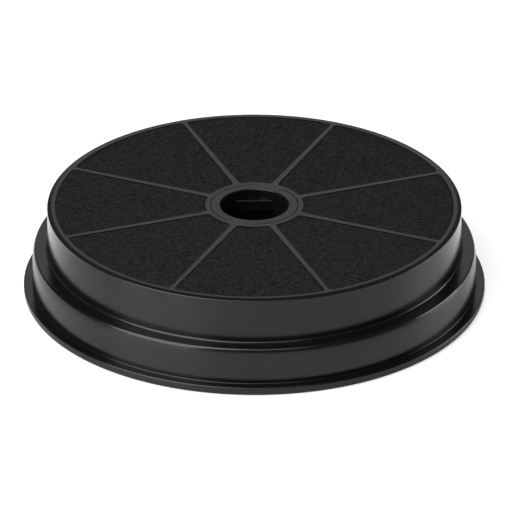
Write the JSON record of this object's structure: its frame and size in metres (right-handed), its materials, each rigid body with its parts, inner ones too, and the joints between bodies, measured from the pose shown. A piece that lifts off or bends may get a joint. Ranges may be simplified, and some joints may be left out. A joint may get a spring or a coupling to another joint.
{
  "type": "cooker hood carbon filter",
  "caption": "Round black carbon filter cartridge with a stepped shell, a spoked face over felt and a central bayonet hub that locks onto the hood's fan.",
  "frame": {"origin": "centre of the underside, where the flange's foot lies", "axes": "+Z along the filter's axis, out of the spoked face; one of the bush's windows faces +Y"},
  "size_m": [0.235, 0.235, 0.0473],
  "materials": {
    "shell_plastic": "gloss",
    "bush_plastic": "gloss",
    "felt": "matt",
    "carbon": "matt"
  },
  "bodies": {
    "root": {"housing": "shell_plastic", "bayonet_bush": "bush_plastic", "front_felt": "felt", "carbon_bed": "carbon", "back_felt": "felt", "back_cover": "shell_plastic"}
  },
  "joints": []
}
